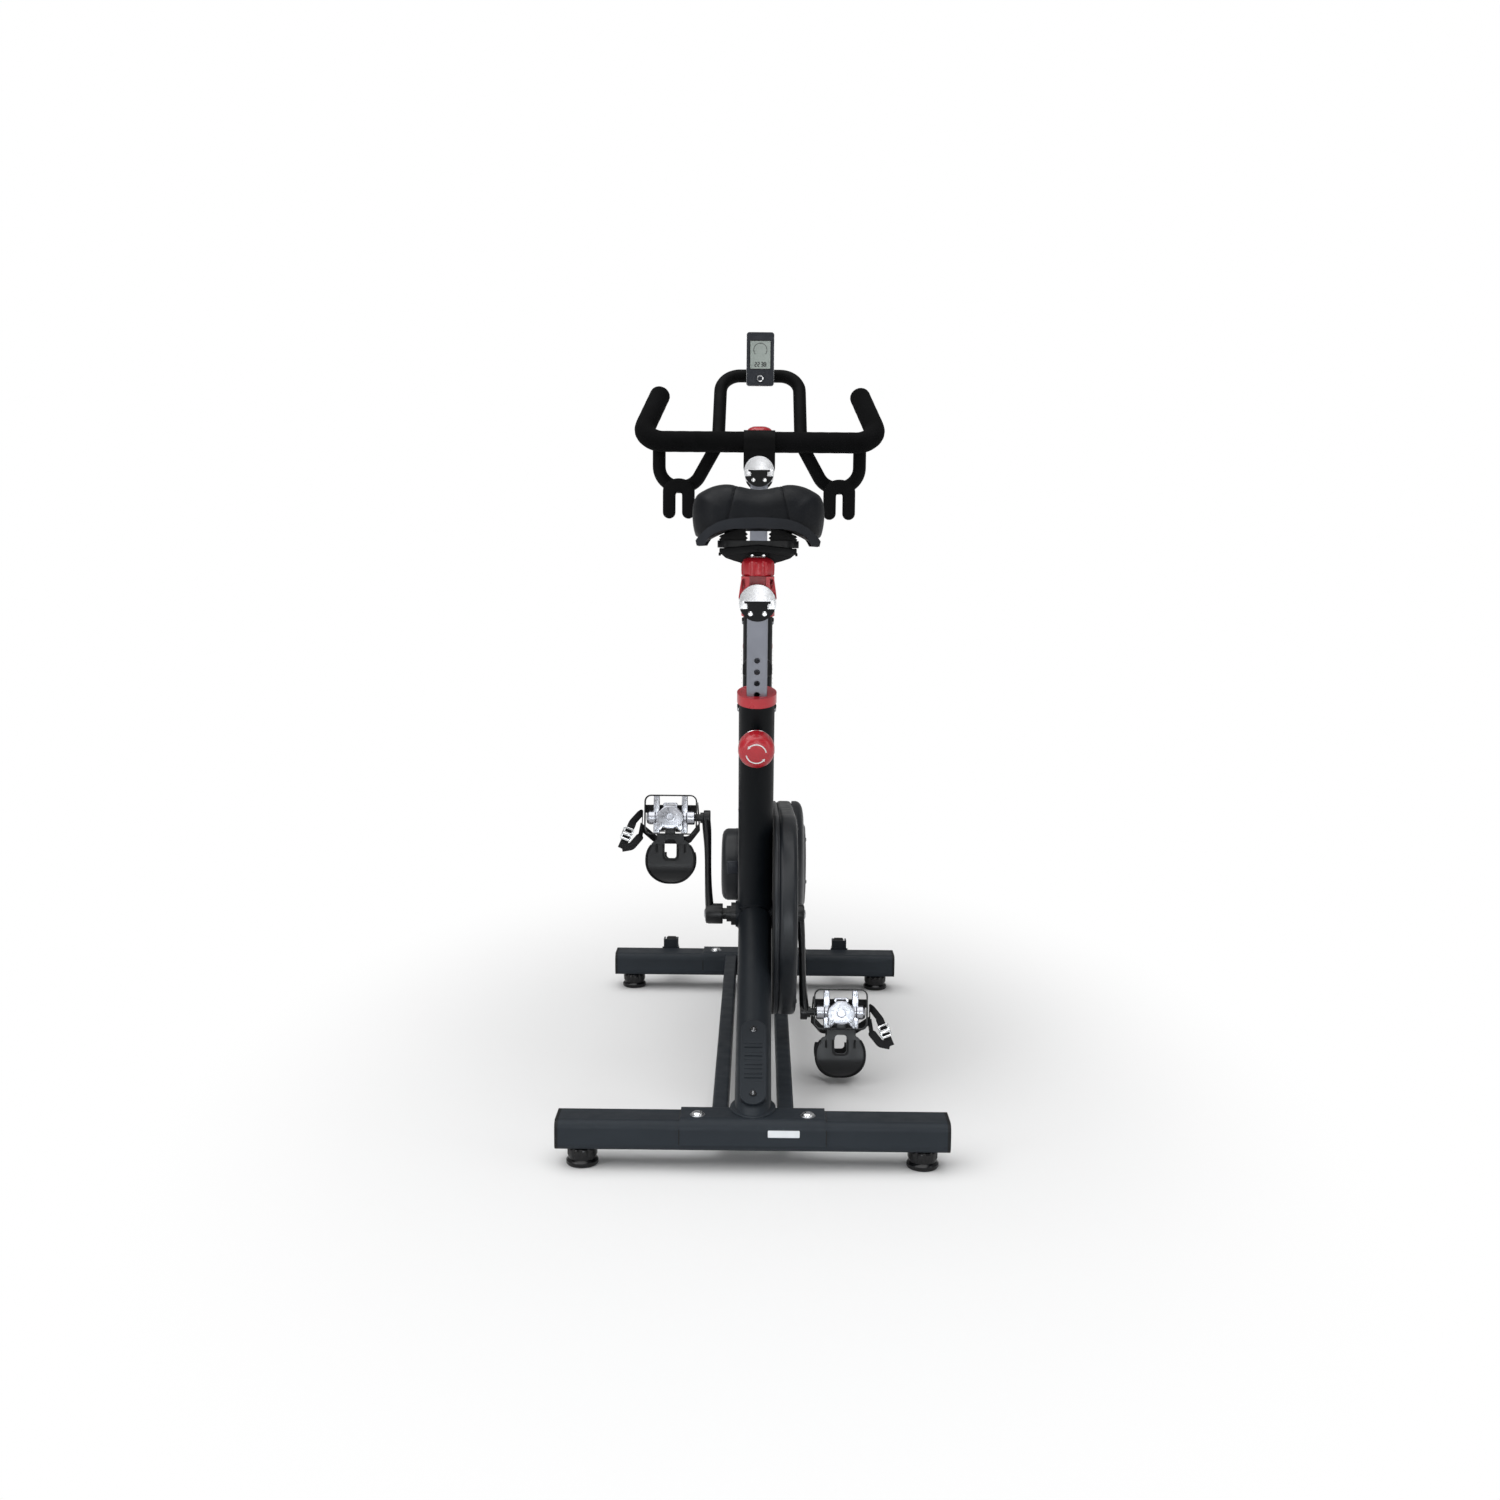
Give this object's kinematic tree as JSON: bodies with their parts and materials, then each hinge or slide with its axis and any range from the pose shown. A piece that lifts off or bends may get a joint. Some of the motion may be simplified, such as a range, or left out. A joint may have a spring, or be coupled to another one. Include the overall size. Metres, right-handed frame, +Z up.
{
  "type": "indoor exercise bike",
  "caption": "Belt-driven indoor cycling bike with front flywheel, sliding saddle and handlebar posts, toe-clip pedals and a small display.",
  "frame": {"origin": "centre of the bounding box at floor level, under the levelling feet", "axes": "+Z up; +Y the way the rider faces, towards the flywheel and handlebar; +X to the rider's right, the belt-guard side"},
  "size_m": [0.6, 1.177, 1.3681],
  "materials": {
    "frame_paint": "satin black powder coat, fine texture",
    "black_parts": "satin black paint",
    "bright_silver": "brushed, clear-coated silver",
    "rail_alloy": "extruded and polished, clear-coated",
    "zinc_steel": "zinc-plated, fine turning marks",
    "flywheel_iron": "black painted casting, machined bright rim",
    "pedal_alloy": "cast alloy, lightly blasted",
    "red_plastic": "glossy moulded red",
    "black_plastic": "moulded black, fine grain",
    "guard_plastic": "semi-gloss moulded black",
    "foam_grip": "closed-cell foam, matte",
    "foot_rubber": "shiny black rubber",
    "wheel_tyre": "smooth hard rubber",
    "belt_rubber": "ribbed drive belt",
    "saddle_cover": "stitched black leather look, fine grain",
    "strap_web": "woven nylon webbing",
    "console_face": "dark slate, smooth",
    "display": "unlit grey-green display",
    "button_metal": "polished ring"
  },
  "bodies": {
    "frame": {"stabilizers": "frame_paint", "stabilizer_caps": "black_plastic", "base_frame": "frame_paint", "frame_bolts": "zinc_steel", "seat_tube": "frame_paint", "main_beam": "frame_paint", "head_tube": "frame_paint", "fork": "frame_paint", "wheel_brackets": "frame_paint", "access_cover": "black_plastic", "tube_collars": "red_plastic", "belt_guard": "guard_plastic", "belt_guard_backplate": "guard_plastic", "drive_belt": "belt_rubber", "bearings": "zinc_steel", "axle_covers": "guard_plastic"},
    "rear_left_foot": {"foot_rear_left": "foot_rubber"},
    "rear_right_foot": {"foot_rear_right": "foot_rubber"},
    "front_left_foot": {"foot_front_left": "foot_rubber"},
    "front_right_foot": {"foot_front_right": "foot_rubber"},
    "left_transport_wheel": {"left_wheel": "wheel_tyre"},
    "right_transport_wheel": {"right_wheel": "wheel_tyre"},
    "flywheel_assembly": {"flywheel": "flywheel_iron", "flywheel_axle": "zinc_steel"},
    "cranks": {"crank_spindle": "zinc_steel", "drive_pulley": "black_plastic", "left_crank_arm": "black_parts", "right_crank_arm": "black_parts", "pedal_axles": "zinc_steel"},
    "left_pedal": {"left_pedal_body": "pedal_alloy", "left_pedal_cage": "black_parts", "left_toe_clip": "black_parts", "left_toe_strap": "strap_web"},
    "right_pedal": {"right_pedal_body": "pedal_alloy", "right_pedal_cage": "black_parts", "right_toe_clip": "black_parts", "right_toe_strap": "strap_web"},
    "brake_knob": {"resistance_knob": "black_plastic"},
    "magnet_brake": {"magnet_carrier": "black_plastic"},
    "saddle_post": {"seat_post": "bright_silver", "seat_rail": "rail_alloy", "seat_rail_caps": "black_plastic"},
    "saddle": {"saddle_carriage": "red_plastic", "saddle_bracket": "black_parts", "saddle_pan": "black_plastic", "saddle_pad": "saddle_cover"},
    "saddle_knob": {"saddle_lock_knob": "red_plastic"},
    "saddle_height_pin": {"seat_pin": "red_plastic"},
    "bar_post": {"handlebar_post": "bright_silver", "handlebar_rail": "rail_alloy", "handlebar_rail_caps": "black_plastic"},
    "handlebar": {"handlebar_carriage": "black_parts", "handlebar_tubes": "black_parts", "handlebar_grips": "foam_grip", "accessory_holders": "black_plastic"},
    "bar_knob": {"handlebar_lock_knob": "red_plastic"},
    "bar_height_pin": {"handlebar_pin": "red_plastic"},
    "console": {"console_case": "console_face", "console_screen": "display"},
    "console_push_button": {"console_button": "button_metal"}
  },
  "joints": [
    {"name": "flywheel_spin", "type": "hinge", "parent": "frame", "child": "flywheel_assembly", "pos_m": [0, 0.3095, 0.304], "axis": [1, 0, 0], "continuous": true},
    {"name": "crank_spin", "type": "hinge", "parent": "frame", "child": "cranks", "pos_m": [0, -0.1355, 0.3], "axis": [1, 0, 0], "continuous": true},
    {"name": "left_pedal_spin", "type": "hinge", "parent": "cranks", "child": "left_pedal", "pos_m": [0, -0.08864, 0.46341], "axis": [1, 0, 0], "continuous": true},
    {"name": "right_pedal_spin", "type": "hinge", "parent": "cranks", "child": "right_pedal", "pos_m": [0, -0.18236, 0.13659], "axis": [1, 0, 0], "continuous": true},
    {"name": "left_wheel_spin", "type": "hinge", "parent": "frame", "child": "left_transport_wheel", "pos_m": [-0.184, 0.5585, 0.063], "axis": [1, 0, 0], "continuous": true},
    {"name": "right_wheel_spin", "type": "hinge", "parent": "frame", "child": "right_transport_wheel", "pos_m": [0.184, 0.5585, 0.063], "axis": [1, 0, 0], "continuous": true},
    {"name": "rear_left_foot_turn", "type": "hinge", "parent": "frame", "child": "rear_left_foot", "pos_m": [-0.261, -0.5505, 0], "axis": [0, 0, 1], "range_deg": [-180, 180]},
    {"name": "rear_right_foot_turn", "type": "hinge", "parent": "frame", "child": "rear_right_foot", "pos_m": [0.261, -0.5505, 0], "axis": [0, 0, 1], "range_deg": [-180, 180]},
    {"name": "front_left_foot_turn", "type": "hinge", "parent": "frame", "child": "front_left_foot", "pos_m": [-0.261, 0.4895, 0], "axis": [0, 0, 1], "range_deg": [-180, 180]},
    {"name": "front_right_foot_turn", "type": "hinge", "parent": "frame", "child": "front_right_foot", "pos_m": [0.261, 0.4895, 0], "axis": [0, 0, 1], "range_deg": [-180, 180]},
    {"name": "seat_height_slide", "type": "slide", "parent": "frame", "child": "saddle_post", "axis": [0, -0.2924, 0.9563], "range_m": [-0.1, 0.12]},
    {"name": "saddle_fore_aft_slide", "type": "slide", "parent": "saddle_post", "child": "saddle", "axis": [0, 1, 0], "range_m": [-0.01, 0.1]},
    {"name": "saddle_knob_turn", "type": "hinge", "parent": "saddle", "child": "saddle_knob", "pos_m": [0, -0.36972, 0.89606], "axis": [0, 0, 1], "range_deg": [-90, 360]},
    {"name": "seat_pin_pull", "type": "slide", "parent": "frame", "child": "saddle_height_pin", "axis": [0, -0.9563, -0.2924], "range_m": [0, 0.012], "stiffness_N_per_m": 800},
    {"name": "handlebar_height_slide", "type": "slide", "parent": "frame", "child": "bar_post", "axis": [0, -0.0872, 0.9962], "range_m": [-0.035, 0.1]},
    {"name": "handlebar_fore_aft_slide", "type": "slide", "parent": "bar_post", "child": "handlebar", "axis": [0, 1, 0], "range_m": [-0.01, 0.06]},
    {"name": "handlebar_knob_turn", "type": "hinge", "parent": "handlebar", "child": "bar_knob", "pos_m": [0, 0.31839, 1.14807], "axis": [0, 0, 1], "range_deg": [-90, 360]},
    {"name": "handlebar_pin_pull", "type": "slide", "parent": "frame", "child": "bar_height_pin", "axis": [0, 0.9962, 0.0872], "range_m": [0, 0.012], "stiffness_N_per_m": 800},
    {"name": "console_tilt", "type": "hinge", "parent": "handlebar", "child": "console", "pos_m": [0, 0.36839, 1.28707], "axis": [1, 0, 0], "range_deg": [-15, 15]},
    {"name": "console_button_press", "type": "slide", "parent": "console", "child": "console_push_button", "axis": [0, 1, 0], "range_m": [0, 0.001], "stiffness_N_per_m": 1500},
    {"name": "resistance_knob_turn", "type": "hinge", "parent": "frame", "child": "brake_knob", "pos_m": [0, 0.2115, 0.69563], "axis": [0, 0, 1], "range_deg": [0, 540]},
    {"name": "magnet_lower", "type": "slide", "parent": "frame", "child": "magnet_brake", "axis": [0, 0, 1], "range_m": [-0.012, 0]}
  ],
  "couplings": [
    {"joint": "crank_spin", "follows": "flywheel_spin", "ratio": 0.25},
    {"joint": "magnet_lower", "follows": "resistance_knob_turn", "m_per_rad": -0.0012732}
  ]
}
